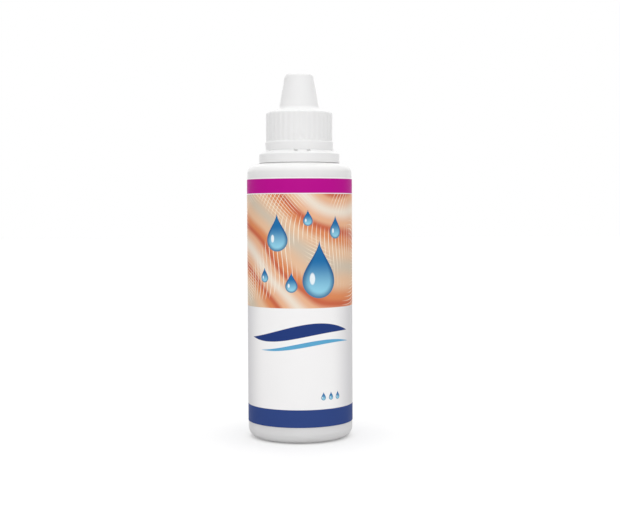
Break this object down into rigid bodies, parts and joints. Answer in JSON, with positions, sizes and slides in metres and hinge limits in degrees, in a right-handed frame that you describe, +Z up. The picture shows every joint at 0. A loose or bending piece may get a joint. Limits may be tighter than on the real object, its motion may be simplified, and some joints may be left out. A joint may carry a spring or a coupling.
{
  "type": "contact lens solution bottle",
  "caption": "Round white squeeze bottle for contact lens solution, with a wrap label, a dropper tip in its neck, and a ribbed screw cap with a tapered nose above a tamper ring.",
  "frame": {"origin": "centre of the base, on the plane that the bottle stands on", "axes": "+Z up along the bottle's axis towards the cap's nose, -Y towards the front of the label, +Y towards the label's seam"},
  "size_m": [0.04, 0.04, 0.1384],
  "materials": {
    "bottle_white": "satin blow-moulded polyethylene",
    "label_print": "printed plastic film with a light gloss",
    "solution_clear": "clear watery liquid",
    "tip_natural": "natural soft polyethylene, slightly see-through",
    "cap_white": "satin injection-moulded polypropylene"
  },
  "bodies": {
    "bottle": {"bottle_body": "bottle_white", "wrap_label": "label_print", "solution": "solution_clear", "dropper_tip": "tip_natural"},
    "ring": {"tamper_ring": "cap_white"},
    "cap": {"screw_cap": "cap_white"}
  },
  "joints": [
    {"name": "cap_turn", "type": "hinge", "parent": "bottle", "child": "ring", "pos_m": [0, 0, 0.1065], "axis": [0, 0, 1], "range_deg": [0, 3600]},
    {"name": "cap_rise", "type": "slide", "parent": "ring", "child": "cap", "axis": [0, 0, 1], "range_m": [0, 0.0301]}
  ],
  "couplings": [
    {"joint": "cap_rise", "follows": "cap_turn", "m_per_rad": 0.00047746}
  ]
}
